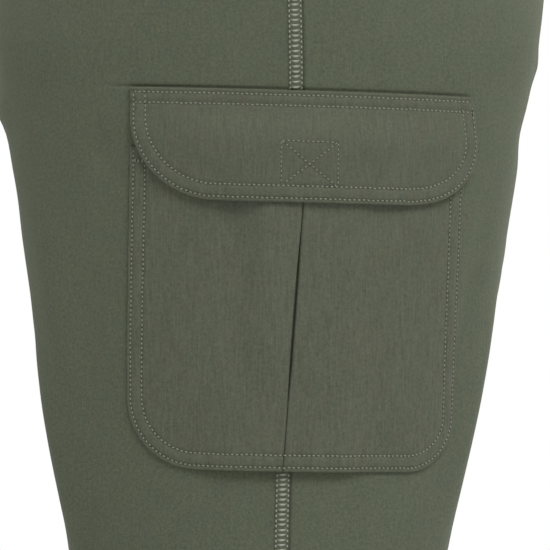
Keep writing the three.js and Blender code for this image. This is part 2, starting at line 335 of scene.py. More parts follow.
def stitches(starts, ends, ups, radius, lift, bow=0.0):
    """Short threads from starts to ends that rise in the middle and dive into the cloth."""
    along = ends - starts
    length = np.linalg.norm(along, axis=1, keepdims=True)
    along = along / np.maximum(length, 1e-9)
    side = np.cross(ups, along)
    side /= np.maximum(np.linalg.norm(side, axis=1, keepdims=True), 1e-9)
    t = np.linspace(0, 1, STITCH_RINGS)
    swell = np.sqrt(np.maximum(1 - (2 * t - 1) ** 4, STITCH_THINNEST))
    arch = 1 - (2 * t - 1) ** 2
    turn = 2 * np.pi * np.arange(STITCH_SIDES) / STITCH_SIDES
    rings = []
    for k in range(STITCH_RINGS):
        rise = lift * arch[k] - STITCH_SINK * radius
        middle = starts + along * length * t[k] + ups * rise + side * bow * arch[k]
        for a in turn:
            spoke = side * np.cos(a) + ups * np.sin(a) * STITCH_FLAT
            rings.append(middle + spoke * radius * swell[k])
    points = np.stack(rings, axis=1)
    shift = (np.arange(len(starts)) * len(rings))[:, None, None]
    return points.reshape(-1, 3), (stitch_faces()[None] + shift).reshape(-1, 4)


def joined(parts):
    """Several lots of points and faces as one."""
    points, faces, base = [], [], 0
    for p, f in parts:
        points.append(p)
        faces.append(f + base)
        base += len(p)
    return np.concatenate(points), np.concatenate(faces)


def evenly(line, pitch):
    """A polyline's points again, pitch apart."""
    along = np.concatenate([[0], np.cumsum(np.linalg.norm(np.diff(line, axis=0), axis=1))])
    at = np.arange(0, along[-1], pitch)
    return np.stack([np.interp(at, along, line[:, k]) for k in range(line.shape[1])], axis=1)


ROW_FILL = 0.98  # share of the pitch that a stitch takes
ROW_SWAY = 0.1


def row_of_stitches(line, place, radius=0.42, lift=0.4, pitch=PITCH):
    """Stitches along a line of (u, z), with place(u, z) giving a point on the cloth and its up."""
    stops = evenly(line, pitch)
    direction = np.diff(stops, axis=0)
    sideways = np.stack([-direction[:, 1], direction[:, 0]], axis=1) / pitch
    near_sway = RNG.normal(0, ROW_SWAY, (len(direction), 1))
    far_sway = RNG.normal(0, ROW_SWAY, (len(direction), 1))
    start = stops[:-1] + direction * (1 - ROW_FILL) / 2 + sideways * near_sway
    end = stops[:-1] + direction * (1 + ROW_FILL) / 2 + sideways * far_sway
    a, up = place(start[:, 0], start[:, 1])
    b, _ = place(end[:, 0], end[:, 1])
    return stitches(a, b, up, radius, lift)


# ---- materials

def colour(r, g, b):
    """An sRGB colour of 0 to 255 as linear values."""
    c = np.array([r, g, b]) / 255
    linear = np.where(c <= 0.04045, c / 12.92, ((c + 0.055) / 1.055) ** 2.4)
    return (*[float(v) for v in linear], 1.0)


# The knit's noises, each with its scales along u, z and piece, its detail and its roughness.
# One metre of cloth is one unit, so a scale is about the number of spots in a metre.
WALES = ((1300, 90, 400), 2, 0.6)
KNIT = ((1500, 1500, 400), 3, 0.75)
SPECKLE = ((620, 620, 300), 2, 0.6)
PATCHES = ((45, 30, 20), 3, 0.6)
HUES = ((130, 90, 40), 3, 0.6)
SPECKLE_SHARE = 0.7  # of the grain
PATCH_STRENGTH = 0.14
# Painted light: the knit's colour is scaled from 0.95 at the hem's level to 1.02 towards the hip, so it
# is darker low down and lighter higher up.
HEM_TO_HIP_PAINTED_LIGHT = {"From Min": -0.5, "From Max": -0.3, "To Min": 0.95, "To Max": 1.02}
BROWNER = (1.13, 0.99, 0.93)  # the other end of the cloth's mottling, times its green
BROWN_START, BROWN_GAIN = 0.35, 1.5
BUMP_DISTANCE = 0.0003  # metres
CLOTH_SURFACE = {
    "Roughness": 0.88,
    "Specular IOR Level": 0.2,
    "Sheen Weight": 0.12,
    "Sheen Roughness": 0.5,
    "Sheen Tint": (0.75, 0.8, 0.65, 1),
}
THREAD_SURFACE = {"Roughness": 0.6, "Specular IOR Level": 0.3}
FLOOR_SURFACE = {"Base Color": (0.82, 0.82, 0.82, 1), "Roughness": 1.0}


def node(tree, kind, inputs, **settings):
    """A new node, each of whose inputs is a value or the output that feeds it."""
    made = tree.nodes.new("ShaderNode" + kind)
    for key, value in settings.items():
        setattr(made, key, value)
    for key, value in inputs.items():
        if isinstance(value, bpy.types.NodeSocket):
            tree.links.new(value, made.inputs[key])
        else:
            made.inputs[key].default_value = value
    return made


def maths(tree, operation, a, b):
    return node(tree, "Math", {0: a, 1: b}, operation=operation).outputs[0]


def principled(name, values):
    """A new material with its node tree and main shader."""
    mat = bpy.data.materials.new(name)
    mat.use_nodes = True
    bsdf = mat.node_tree.nodes["Principled BSDF"]
    for key, value in values.items():
        bsdf.inputs[key].default_value = value
    return mat, mat.node_tree, bsdf


def blend(tree, share, a, b):
    inputs = {"Factor": share, "A": a, "B": b}
    return node(tree, "Mix", inputs, data_type="RGBA").outputs["Result"]


def cloth_material(name, base, streak, grain, bump):
    """Olive knit: upright wale streaks, fine grain, soft mottling, painted light that makes it darker
    towards the hem and lighter towards the hip, and a little sheen.
    """
    mat, nt, bsdf = principled(name, CLOTH_SURFACE)
    place = node(nt, "Attribute", {}, attribute_name="cloth").outputs["Vector"]

    def noise(stretch, detail, rough):
        mapped = node(nt, "Mapping", {0: place, "Scale": stretch}).outputs[0]
        inputs = {"Vector": mapped, "Scale": 1.0, "Detail": detail, "Roughness": rough}
        return node(nt, "TexNoise", inputs).outputs["Fac"]

    def around_none(source, strength):
        return maths(nt, "MULTIPLY", maths(nt, "SUBTRACT", source, 0.5), strength)

    wales, knit, speckle, patch, hue = (noise(*n) for n in (WALES, KNIT, SPECKLE, PATCHES, HUES))
    value = maths(nt, "ADD", around_none(wales, streak), around_none(knit, grain))
    value = maths(nt, "ADD", value, around_none(speckle, grain * SPECKLE_SHARE))
    value = maths(nt, "ADD", value, around_none(patch, PATCH_STRENGTH))
    # Painted light: darker towards the hem and lighter towards the hip, by level alone.
    level = node(nt, "SeparateXYZ", {0: place}).outputs["Y"]
    painted_light_by_level = node(nt, "MapRange", {"Value": level, **HEM_TO_HIP_PAINTED_LIGHT}).outputs["Result"]
    value = maths(nt, "ADD", value, painted_light_by_level)
    green = np.array(base[:3])
    brown = (*[float(v) for v in green * BROWNER], 1)
    share = maths(nt, "MULTIPLY", maths(nt, "SUBTRACT", hue, BROWN_START), BROWN_GAIN)
    mottled = blend(nt, share, (*[float(v) for v in green], 1), brown)
    shown = node(nt, "VectorMath", {0: mottled, "Scale": value}, operation="SCALE").outputs[0]
    nt.links.new(shown, bsdf.inputs["Base Color"])
    height = maths(nt, "ADD", maths(nt, "MULTIPLY", wales, 0.8), knit)
    relief = {"Strength": bump, "Distance": BUMP_DISTANCE, "Height": height}
    nt.links.new(node(nt, "Bump", relief).outputs[0], bsdf.inputs["Normal"])
    return mat


def thread_material(name, light, dark):
    """Thread in its own colour where it lies on the cloth, blended to a dark painted shade at its ends
    for the needle holes' shadow.
    """
    mat, nt, bsdf = principled(name, THREAD_SURFACE)
    shade = node(nt, "Attribute", {}, attribute_name="shade").outputs["Fac"]
    nt.links.new(blend(nt, shade, dark, light), bsdf.inputs["Base Color"])
    return mat


LEG_MAT = cloth_material("leg_knit", colour(84, 91, 75), 0.25, 1.0, 0.5)
POCKET_MAT = cloth_material("pocket_knit", colour(84, 89, 75), 0.6, 0.8, 0.5)
FLAP_MAT = cloth_material("flap_knit", colour(84, 89, 75), 0.6, 0.8, 0.5)
BAND_MAT = cloth_material("band_knit", colour(84, 91, 75), 0.5, 0.9, 0.5)
# The second colour of each thread is painted shade, standing in for the shadow in the needle holes.
THREAD = thread_material("twin_thread", colour(128, 131, 115), colour(38, 40, 31))
LADDER_THREAD = thread_material("ladder_thread", colour(150, 152, 138), colour(58, 60, 48))


# ---- leg panels

# Soft folds, each from an angle in degrees and a level to another angle and level, with its
# width and height. A height below 0 is a trough.
CREASES = [
    # outer side, beside and above the pocket
    (-39, -296, -38, -318, 7, -0.9),
    (7, -236, 4, -272, 6, 0.4),
    (12, -232, 10, -268, 5, -0.4),
    (57, -418, 56, -436, 4, -0.6),
    (-48, -300, -52, -440, 16, -0.6),
    (-66, -330, -60, -470, 15, 0.8),
    (63, -330, 58, -460, 9, -0.6),
    # front, from the crotch outwards and down the thigh
    (152, -236, 100, -208, 10, 2.6),
    (158, -246, 96, -232, 8, -2.2),
    (160, -262, 92, -262, 9, 2.3),
    (150, -276, 84, -300, 11, -1.8),
    (128, -300, 96, -372, 14, 2.0),
    (108, -352, 92, -462, 13, -1.7),
    (80, -380, 74, -500, 15, 1.6),
    (138, -356, 126, -488, 15, 1.7),
    (78, -90, 74, -190, 16, 1.4),
    (52, -100, 60, -200, 18, -1.3),
    # back, under the seat and down the thigh
    (-155, -243, -104, -214, 11, 2.8),
    (-160, -256, -90, -246, 8, -2.6),
    (-152, -272, -82, -286, 10, 2.5),
    (-146, -290, -92, -330, 12, -2.0),
    (-124, -318, -100, -404, 14, 2.2),
    (-100, -372, -88, -490, 14, -1.8),
    (-80, -400, -72, -506, 16, 1.7),
    (-136, -380, -128, -500, 15, 1.8),
    (-70, -110, -62, -212, 20, 1.5),
    (-40, -96, -46, -196, 18, -1.2),
    # inner side
    (168, -300, 150, -420, 13, 1.8),
    (-166, -330, -154, -456, 13, -1.6),
]
CREASE_GAIN = 2.5  # times the heights above


def creased(angle, z):
    """How far the soft folds move the cloth out, at angles and levels."""
    total = np.zeros(np.broadcast(angle, z).shape)
    _, half_width, half_depth, _, _ = section(z)
    round_mm = (half_width + half_depth) / 2
    for a0, z0, a1, z1, width, height in CREASES:
        ax, az = np.radians(a0), z0
        bx, bz = np.radians(a1), z1
        du, dv = (bx - ax) * round_mm, bz - az
        pu, pv = (angle - ax) * round_mm, z - az
        t = (pu * du + pv * dv) / (du * du + dv * dv)
        clipped = np.clip(t, 0, 1)
        away = np.hypot(pu - clipped * du, pv - clipped * dv)
        taper = np.sin(np.pi * np.clip(clipped * 0.9 + 0.05, 0, 1)) ** 0.7
        total += CREASE_GAIN * height * taper * np.exp(-((away / width) ** 2))
    return total


GATHER_WAVES = [(13.0, 0.55), (21.0, 0.8), (34.0, 0.9), (55.0, 0.6)]  # waves in half a turn, and size
GATHER_PHASES = RNG.uniform(0, 2 * np.pi, len(GATHER_WAVES))
GATHERS_FULL = 14.0  # below the waistband


def gathers(angle, z):
    """The cloth that the elastic draws together, fading out below the waistband."""
    below = -BAND_HEIGHT - z
    total = np.zeros(np.broadcast(angle, z).shape)
    for (waves, size), phase in zip(GATHER_WAVES, GATHER_PHASES):
        reach = 26 + 240 / waves
        drift = 0.25 * np.sin(z / 37 + phase)
        total += size * np.sin(waves * 2 * angle + phase + drift) * np.exp(-below / reach)
    return total * (0.4 + 1.1 * ramp(below, 0, GATHERS_FULL))


INNER_START = np.pi / 2 - 0.01  # just before the inner quarter
HALVINGS = 40


def middle_angle(z):
    """The angle at which the surface comes to the middle plane."""
    low, high = np.full_like(z, INNER_START), np.full_like(z, np.pi)
    for _ in range(HALVINGS):
        middle = (low + high) / 2
        inside = surface(middle, z)[..., 0] < -SEWN_GAP / 2
        low, high = np.where(inside, middle, low), np.where(inside, high, middle)
    return low


def panel_rows():
    """Levels from the top down, closer together at the flap, the crotch and the hem."""
    base = np.arange(HEM_Z, -BAND_HEIGHT - SEWN_GAP, 4.4)
    flap_rows = np.arange(-281, -272, 0.6)
    crotch_rows = np.arange(CROTCH_Z - 9, CROTCH_Z + 19, 1.2)
    hem_rows = np.arange(HEM_Z, HEM_Z + HEM_HEIGHT + 4, 1.3)
    ends = [HEM_Z, -BAND_HEIGHT - SEWN_GAP]
    levels = np.unique(np.round(np.concatenate([base, flap_rows, crotch_rows, hem_rows, ends]), 2))
    return levels[::-1]


def panel_ends(side, z):
    """The angles from its side seam to its inseam or the middle. side is 1 in front, -1 behind."""
    _, _, half_depth, centre_y, _ = section(z)
    gap = SEWN_GAP / 2 / half_depth
    start = side * np.arcsin((centre_y - through(SECTIONS, z, SEAM_Y)) / half_depth) + gap
    return start, np.minimum(middle_angle(z), np.pi - gap)


INSIDE_SHARE = 0.8  # of the relief that shows on a panel's inner side
MIDDLE_SEAM_PULL = 3.0  # over which a panel is drawn to the middle seam
SEAM_WIDTH = 7.2  # of the stitched-down allowance on the back panel
SEAM_RISE = 0.45  # of the cloth over that allowance
SEAM_TROUGH = 0.9
HEM_ROWS = (19.0, 22.0)  # the stitched rows, up from the hem
ROW_TROUGH = 0.3
FLAP_SHADE = 0.7  # how deep the leg sinks just above the flap
CREASES_CALMED = 0.35  # share of the folds that the hem takes out


def panel_relief(side, angle, z, from_seam, to_end):
    """How far a panel stands out from the plain surface."""
    h = creased(angle, z) * ramp(to_end, 0, 14) * (0.35 + 0.65 * ramp(from_seam, 0, 25))
    h = h * (1 - ramp(-z, -HEM_Z - 35, -HEM_Z) * CREASES_CALMED)
    h += gathers(angle, z) * ramp(from_seam, 0, 6) * ramp(to_end, 0, 6)
    h -= SEAM_TROUGH * (bump_at(from_seam, 0, 0.8) + bump_at(to_end, 0, 0.9))
    h += 0.35 * bump_at(to_end, 4.5, 3.0)
    if side < 0:
        h += SEAM_RISE * (1 - ramp(from_seam, SEAM_WIDTH - 1.2, SEAM_WIDTH + 0.6))
        h -= ROW_TROUGH * bump_at(from_seam, SEAM_WIDTH + 0.6, 0.9)
    up = z - HEM_Z
    h -= 0.5 * bump_at(up, 0, 0.8)
    for row in HEM_ROWS:
        h -= ROW_TROUGH * bump_at(up, row, 1.0)
    turned = np.degrees(angle)
    beside_flap = ramp(turned, -36, -32) * (1 - ramp(turned, 47, 50))
    u = look_up(U_OF_ANGLE, MAP_Z, MAP_ANGLE, z, np.clip(angle, MAP_ANGLE[0], MAP_ANGLE[-1]))
    h -= FLAP_SHADE * beside_flap * bump_at(z - FLAP_TILT * u, FLAP_TOP + 0.3, 0.8)
    return h


INNER_OFFSET = 12.0  # of u on the inner side, from the side seam's own u
# Where each piece lies in the knit's noise, so that no two have the same pattern.
PANEL_LAYER, POCKET_LAYER, FLAP_LAYER, BAND_LAYER = 3.0, 11.0, 17.0, 23.0
FAR = 200.0  # from any seam


def shares(*stretches):
    """Shares from 0 to 1 in stretches, each with where it ends and its number of columns."""
    start, found = 0.0, []
    for end, count in stretches:
        found.append(np.linspace(start, end, count)[:-1])
        start = end
    return np.append(np.concatenate(found), 1.0)


def panel(side, mirror):
    """A front or back panel, double where its hem is turned up."""
    z = panel_rows()[:, None]
    start, end = panel_ends(side, z)
    share = shares((0.024, 16), (0.975, 100), (1, 8))
    angle = side * (start + (end - start) * share)
    z = np.broadcast_to(z, angle.shape)
    base = surface(angle, z)
    step = np.linalg.norm(np.diff(base, axis=1), axis=2)
    along = np.concatenate([np.zeros((len(step), 1)), np.cumsum(step, axis=1)], axis=1)
    to_end = along[:, -1:] - along
    n = normals(angle, z)
    relief = panel_relief(side, angle, z, along, to_end)
    fold = -HEM_Z - HEM_HEIGHT
    thick = CLOTH * (1 + ramp(-z, fold, fold + 1.5))
    outside = base + n * relief[..., None]
    inside = base + n * (relief * INSIDE_SHARE - thick)[..., None]
    above = ramp(z[:, :1], CROTCH_Z - 2, CROTCH_Z + 2)
    for layer in (outside, inside):
        to_middle = -SEWN_GAP / 2 - layer[:, -1:, 0]
        layer[..., 0] += above * to_middle * np.exp(-((to_end / MIDDLE_SEAM_PULL) ** 2))
        layer[..., 0] = np.minimum(layer[..., 0], -SEWN_GAP / 2)
    u = look_up(U_OF_ANGLE, MAP_Z, MAP_ANGLE, z, np.clip(angle, MAP_ANGLE[0], MAP_ANGLE[-1]))
    u = np.where(np.abs(angle) < MAP_ANGLE[-1], u, -side * (along + INNER_OFFSET))
    cloth = np.stack([u, z, np.full_like(z, PANEL_LAYER * side)], axis=-1)
    name = ("front" if side > 0 else "back") + leg_name(mirror)
    if side < 0:
        outside, inside = inside, outside
    piece = wall_object(name + "_cloth", outside, inside, LEG_MAT, cloth, mirror)
    return name, piece


def leg_place(height):
    """A function that gives the point on the back panel at (u, z), and its up."""
    def place(u, z):
        angle = angle_at(u, z)
        up = normals(angle, z)
        seam = u_at(through(SECTIONS, z, SEAM_Y), z)
        relief = panel_relief(-1, angle, z, u - seam, np.full_like(z, FAR))
        return surface(angle, z) + up * (relief + height)[..., None], up
    return place


LADDER_PITCH = 2.55
LADDER_JITTER = 0.12
LADDER_SIDES = (0.3, 6.7)  # of the rungs, behind the seam
LADDER_COLUMNS = (0.75, 6.55)
LADDER_SLANT = 0.6
COLUMN_GAP = 0.2  # at each end of a stitch in a column


def ladder(mirror):
    """The cover stitch along the side seam: rungs between two needle columns."""
    place = leg_place(0.12)
    z = np.arange(HEM_Z + 2, -BAND_HEIGHT - 3, LADDER_PITCH)
    z = z[(z > FLAP_TOP - 3) | (z < POCKET_BOTTOM + 4)]
    seam = u_at(through(SECTIONS, z, SEAM_Y), z)
    jitter = RNG.normal(0, LADDER_JITTER, (4, len(z)))
    a, up = place(seam + LADDER_SIDES[0] + jitter[0], z + jitter[1])
    b, _ = place(seam + LADDER_SIDES[1] + jitter[2], z - LADDER_SLANT + jitter[3])
    parts = [stitches(a, b, up, 0.62, 0.5, bow=0.5)]
    for across in LADDER_COLUMNS:
        c, up = place(seam + across, z + COLUMN_GAP)
        d, _ = place(seam + across, z + LADDER_PITCH - COLUMN_GAP)
        parts.append(stitches(c, d, up, 0.42, 0.3))
    return stitch_object("side_seam_stitches" + leg_name(mirror), parts, LADDER_THREAD, mirror)


PLAIN_FILL = (0.13, 0.87)  # where a stitch of a hem or waistband row starts and ends


def hem_stitches(mirror):
    """Two rows round the hem, on both panels."""
    parts = []
    for side in (1, -1):
        for row in HEM_ROWS:
            level = HEM_Z + row
            start, end = panel_ends(side, np.array([level]))
            angle = side * np.linspace(start[0] + 0.01, end[0] - 0.01, 110)
            line = surface(angle, np.full_like(angle, level))
            stops = evenly(np.column_stack([line, angle]), PITCH + 0.2)

            def point(at):
                z = np.full(len(at), level)
                up = normals(at, z)
                far = np.full(len(at), FAR)
                relief = panel_relief(side, at, z, far, far)
                return surface(at, z) + up * (relief + 0.1)[:, None], up

            turn = np.diff(stops[:, 3])
            a, up = point(stops[:-1, 3] + PLAIN_FILL[0] * turn)
            b, _ = point(stops[:-1, 3] + PLAIN_FILL[1] * turn)
            parts.append(stitches(a, b, up, 0.32, 0.35))
    return stitch_object("hem_stitches" + leg_name(mirror), parts, THREAD, mirror)


# ---- patches on the leg

BATCH = 40  # lines of an outline measured at once


class Patch:
    """A piece that lies on the outer side: its outline in u and its own tilted levels."""

    def __init__(self, top, bottom, tilt, back, front, back_corner, front_corner):
        self.top, self.bottom, self.tilt = top, bottom, tilt
        self.back, self.front = back, front
        self.back_corner, self.front_corner = back_corner, front_corner
        self.line = self.outline()

    def edge(self, table, corner, inward, z):
        """u of a side edge, drawn in by its rounded bottom corner."""
        across, up, power = corner
        y = through(table, z)
        below = np.clip((self.bottom + up - z) / up, 0, 1)
        turned = (1 - below**power) ** (1 / power)
        return u_at(y + inward * across * (1 - turned), z)

    def ends(self, z):
        back = self.edge(self.back, self.back_corner, -1, z)
        front = self.edge(self.front, self.front_corner, 1, z)
        return back, front

    def rows(self, spacing, count):
        """Levels from the top down, closer together where the corners turn."""
        up = max(self.back_corner[1], self.front_corner[1])
        straight = np.arange(self.top, self.bottom + up, -spacing)
        turn = np.linspace(0, np.pi / 2, count)
        return np.concatenate([straight, self.bottom + up * (1 - np.sin(turn))])

    def outline(self):
        z = self.rows(1.0, 60)
        back, front = self.ends(z)
        across = np.linspace(back[-1], front[-1], 120)[1:-1]
        bottom = np.stack([across, np.full_like(across, self.bottom)], axis=1)
        return np.concatenate([np.stack([back, z], 1), bottom, np.stack([front, z], 1)[::-1]])

    def from_edge(self, u, z):
        """Distance from the sides and bottom."""
        line = self.line
        flat = np.stack([u.ravel(), z.ravel()], axis=1)
        best = np.full(len(flat), 1e9)
        start, step = line[:-1], np.diff(line, axis=0)
        size = (step**2).sum(1)
        for k in range(0, len(start), BATCH):
            s, d, q = start[k:k + BATCH], step[k:k + BATCH], size[k:k + BATCH]
            rel = flat[:, None] - s[None]
            t = np.clip((rel * d).sum(2) / q, 0, 1)
            best = np.minimum(best, np.linalg.norm(rel - t[..., None] * d, axis=2).min(1))
        return best.reshape(u.shape)

    def row_line(self, inset, top_trim):
        """The line of a needle row, an inset from the sides and bottom."""
        line = evenly(self.line, 1.0)
        along = np.gradient(line, axis=0)
        along /= np.linalg.norm(along, axis=1, keepdims=True)
        inward = np.stack([along[:, 1], -along[:, 0]], axis=1)
        middle = line.mean(0)
        if ((middle - line[0]) * inward[0]).sum() < 0:
            inward = -inward
        moved = line + inward * inset
        below_top = moved[:, 1] < self.top - top_trim
        clear = self.from_edge(moved[:, 0], moved[:, 1]) > inset - 0.25
        return moved[below_top & clear]

    def level(self, u, z):
        """The leg's level under a point of the patch's own row z."""
        return z + self.tilt * u


POCKET = Patch(POCKET_TOP, POCKET_BOTTOM, POCKET_TILT, POCKET_BACK, POCKET_FRONT, *POCKET_CORNERS)
FLAP = Patch(FLAP_TOP, FLAP_BOTTOM, FLAP_TILT, FLAP_BACK, FLAP_FRONT, *FLAP_CORNERS)
NEEDLE_TROUGH = 0.6  # how deep a row of stitches draws the cloth in
BETWEEN_ROWS = (5.0, 2.2, 0.22)  # the turned edge's swell: from the edge, width and height
EDGE_ROLL = (0.55, 0.9)  # how far an edge rolls down, and over what width


def rows_relief(d):
    """The needle rows' troughs and the turned edge between them, by distance from the edge."""
    h = -NEEDLE_TROUGH * (bump_at(d, OUTER_ROW, 0.7) + bump_at(d, INNER_ROW, 0.8))
    at, width, height = BETWEEN_ROWS
    h += height * bump_at(d, at, width)
    h -= EDGE_ROLL[0] * (1 - np.sqrt(np.clip(d / EDGE_ROLL[1], 0, 1)))
    return h


LOW = SEAT_GAP + POCKET_CLOTH / 2  # height of the pocket's lowest layer
LAYER = POCKET_CLOTH + LAYER_GAP
LAP = 25.0  # how far the face stays high beside the slit
FRONT_RAMP = 22.0  # over which it comes down in front
POCKET_FULLNESS = 1.3  # how far the face stands away from its edges
# Upright folds: across from the slit, width and height, then the levels between which each
# starts and those between which it fades.
POCKET_FOLDS = [
    (29, 8, -1.8, (-318, -350), (-362, -440)),
    (14, 8, 1.2, (-322, -340), (-380, -440)),
]
# Soft spots: across from the slit, width, level, how tall it is, and its height.
POCKET_SPOTS = [(52, 9, -352, 30, -0.6), (-60, 14, -395, 40, 0.4)]
SLIT_LIP = (1.6, 1.4, 0.25)  # the slit's rounded lips: across, width and height
# Half the slit's width where it is shut and how much it opens, and the levels as above.
SLIT_SHUT, SLIT_OPEN = 0.02, 0.5
SLIT_OPENS, SLIT_SHUTS = (-342, -374), (-410, -436)


def between(z, starts, fades):
    """1 between two pairs of levels on the way down, and 0 above and below them."""
    return ramp(-z, -starts[0], -starts[1]) * (1 - ramp(-z, -fades[0], -fades[1]))


def slit_half(z):
    """Half the slit's width: open in the middle, and nearly shut at both ends."""
    return SLIT_SHUT + SLIT_OPEN * between(z, SLIT_OPENS, SLIT_SHUTS)


def pocket_face(u, z):
    """The height of the face's middle above the leg."""
    slit = u_at(through(SLIT, z), z)
    off = u - slit
    back_ramp = 9 + 16 * ramp(-z, 335, 430)
    behind, before = ramp(off, LAP, LAP + back_ramp), ramp(-off, LAP, LAP + FRONT_RAMP)
    raised = 1 - np.where(off > 0, behind, before)
    d = POCKET.from_edge(u, z)
    h = LOW + 2 * LAYER * raised
    h += POCKET_FULLNESS * ramp(d, 8, 45) * ramp(-z, -POCKET_TOP, -POCKET_TOP + 43) * (1 - 0.6 * raised)
    for across, width, height, starts, fades in POCKET_FOLDS:
        h += height * bump_at(off, across, width) * between(z, starts, fades)
    for across, width, level, tall, height in POCKET_SPOTS:
        h += height * bump_at(off, across, width) * bump_at(z, level, tall)
    across, width, height = SLIT_LIP
    h += height * bump_at(np.abs(off), across, width) * ramp(d, 4, 12)
    return h + rows_relief(d)


FOLD_TURNS = np.radians([30, 60, 90, 120, 150])  # stops round a fold
FACE_SHARE = shares((0.16, 24), (1, 56))
LAP_STOPS = 5  # across each hidden lap of the pleat
UNDERLAY_STOPS = 13
CORNER_ROWS = 44  # of a patch, where its corners turn


def pocket(mirror):
    """One cloth from edge to edge, through both halves of the inverted pleat."""
    levels = POCKET.rows(1.5, CORNER_ROWS)
    z = levels[:, None]
    back, front = (e[:, None] for e in POCKET.ends(levels))
    slit = u_at(through(SLIT, z), z)
    radius = LAYER / 2
    bend = slit_half(z) + POCKET_CLOTH / 2 + radius
    us, hs, cross, ups = [], [], [], []

    def add(u, h, across, up):
        us.append(u)
        hs.append(np.broadcast_to(h, u.shape))
        cross.append(np.broadcast_to(across, u.shape))
        ups.append(np.broadcast_to(up, u.shape))

    def face(a, b, t):
        u = a + (b - a) * t
        add(u, pocket_face(u, np.broadcast_to(z, u.shape)), 0.0, 1.0)

    def hidden(a, b, count, height, facing):
        u = a + (b - a) * np.linspace(0, 1, count)
        add(u + 0 * z, height, 0.0, facing)

    def fold(centre, low, high, towards, rising, facing):
        for turn in FOLD_TURNS:
            across = towards * np.sin(turn)
            up = (-1 if rising else 1) * np.cos(turn)
            height = (low + high) / 2 + (high - low) / 2 * up
            add(centre + radius * across, height, facing * across, facing * up)

    middle = LOW + LAYER + 0 * z
    low = LOW + 0 * z
    face(back, slit + bend, FACE_SHARE)
    fold(slit + bend, middle, pocket_face(slit + bend, z), -1, False, 1)
    hidden(slit + bend, slit + PLEAT_DEPTH, LAP_STOPS, middle, -1.0)
    fold(slit + PLEAT_DEPTH, low, middle, 1, False, -1)
    hidden(slit + PLEAT_DEPTH, slit - PLEAT_DEPTH, UNDERLAY_STOPS, low, 1.0)
    fold(slit - PLEAT_DEPTH, low, middle, -1, True, -1)
    hidden(slit - PLEAT_DEPTH, slit - bend, LAP_STOPS, middle, -1.0)
    fold(slit - bend, middle, pocket_face(slit - bend, z), 1, True, 1)
    face(slit - bend, front, 1 - FACE_SHARE[::-1])
    u, h = np.concatenate(us, 1), np.concatenate(hs, 1)
    across, up = np.concatenate(cross, 1), np.concatenate(ups, 1)
    zz = POCKET.level(u, np.broadcast_to(z, u.shape))
    t = POCKET_CLOTH / 2
    outside = on_leg(u + across * t, zz, h + up * t)
    inside = on_leg(u - across * t, zz, h - up * t)
    cloth = np.stack([u, zz, np.full_like(u, POCKET_LAYER)], axis=-1)
    name = "pocket" + leg_name(mirror)
    return name, wall_object(name + "_cloth", outside, inside, POCKET_MAT, cloth, mirror)


def patch_place(patch, height, lift):
    """A function that gives the point on a patch at (u, z), and its up."""
    def place(u, z):
        zz = patch.level(u, z)
        angle = angle_at(u, zz)
        up = normals(angle, zz)
        return surface(angle, zz) + up * (height(u, z) + lift)[..., None], up
    return place


TACK_ROWS = (7.3, 6.6)  # across the doubled edges, below the mouth


def pocket_stitches(mirror):
    """The twin rows along the sides and bottom, and the tacks at the mouth."""
    place = patch_place(POCKET, pocket_face, POCKET_CLOTH / 2)
    parts = [row_of_stitches(POCKET.row_line(inset, 1.0), place) for inset in (OUTER_ROW, INNER_ROW)]
    for table, inward in ((POCKET_BACK, -1), (POCKET_FRONT, 1)):
        edge = u_at(through(table, POCKET_TOP), POCKET_TOP)
        a, b = edge + inward * OUTER_ROW, edge + inward * INNER_ROW
        for below in TACK_ROWS:
            line = np.array([(a, POCKET_TOP - below), (b, POCKET_TOP - below)])
            parts.append(row_of_stitches(line, place, pitch=1.9))
    return stitch_object("pocket_stitches" + leg_name(mirror), parts, THREAD, mirror)


BOX_TOP, BOX_BOTTOM = -302.2, -324.9
BOX_BACK, BOX_FRONT = -2.8, -30.0  # y


def box_lines():
    """The four sides and two diagonals of the crossed box."""
    back, front = u_at(BOX_BACK, BOX_TOP), u_at(BOX_FRONT, BOX_TOP)
    top_back, top_front = (back, BOX_TOP), (front, BOX_TOP - 0.3)
    low_back, low_front = (back, BOX_BOTTOM + 0.2), (front, BOX_BOTTOM)
    sides = [(top_back, top_front), (top_front, low_front), (low_back, low_front), (top_back, low_back)]
    diagonals = [(top_back, low_front), (top_front, low_back)]
    return [np.array(run, float) for run in sides + diagonals]


def from_box(u, z):
    """Distance from the crossed box's rows."""
    best = np.full(u.shape, 1e9)
    for a, b in box_lines():
        d = b - a
        t = np.clip(((u - a[0]) * d[0] + (z - a[1]) * d[1]) / (d @ d), 0, 1)
        best = np.minimum(best, np.hypot(u - a[0] - t * d[0], z - a[1] - t * d[1]))
    return best


FLAP_LIFT = 0.9  # how far the flap stands off what it lies on
FLAP_FULLNESS = 0.9  # of its middle
# Soft spots: across from the slit, width, down from its top edge, how tall it is, and its height.
FLAP_SPOTS = [(30, 12, 44, 12, 0.5), (-42, 16, 40, 12, -0.35)]
TOP_ROLL = (0.5, 0.8)  # how far its top edge rolls down, and over what height
BOX_TROUGH = 0.3
LEAST_GAP = 0.15  # between the flap and the leg
THIN_EDGE = 0.62  # the flap's thickness at its edge, as a share


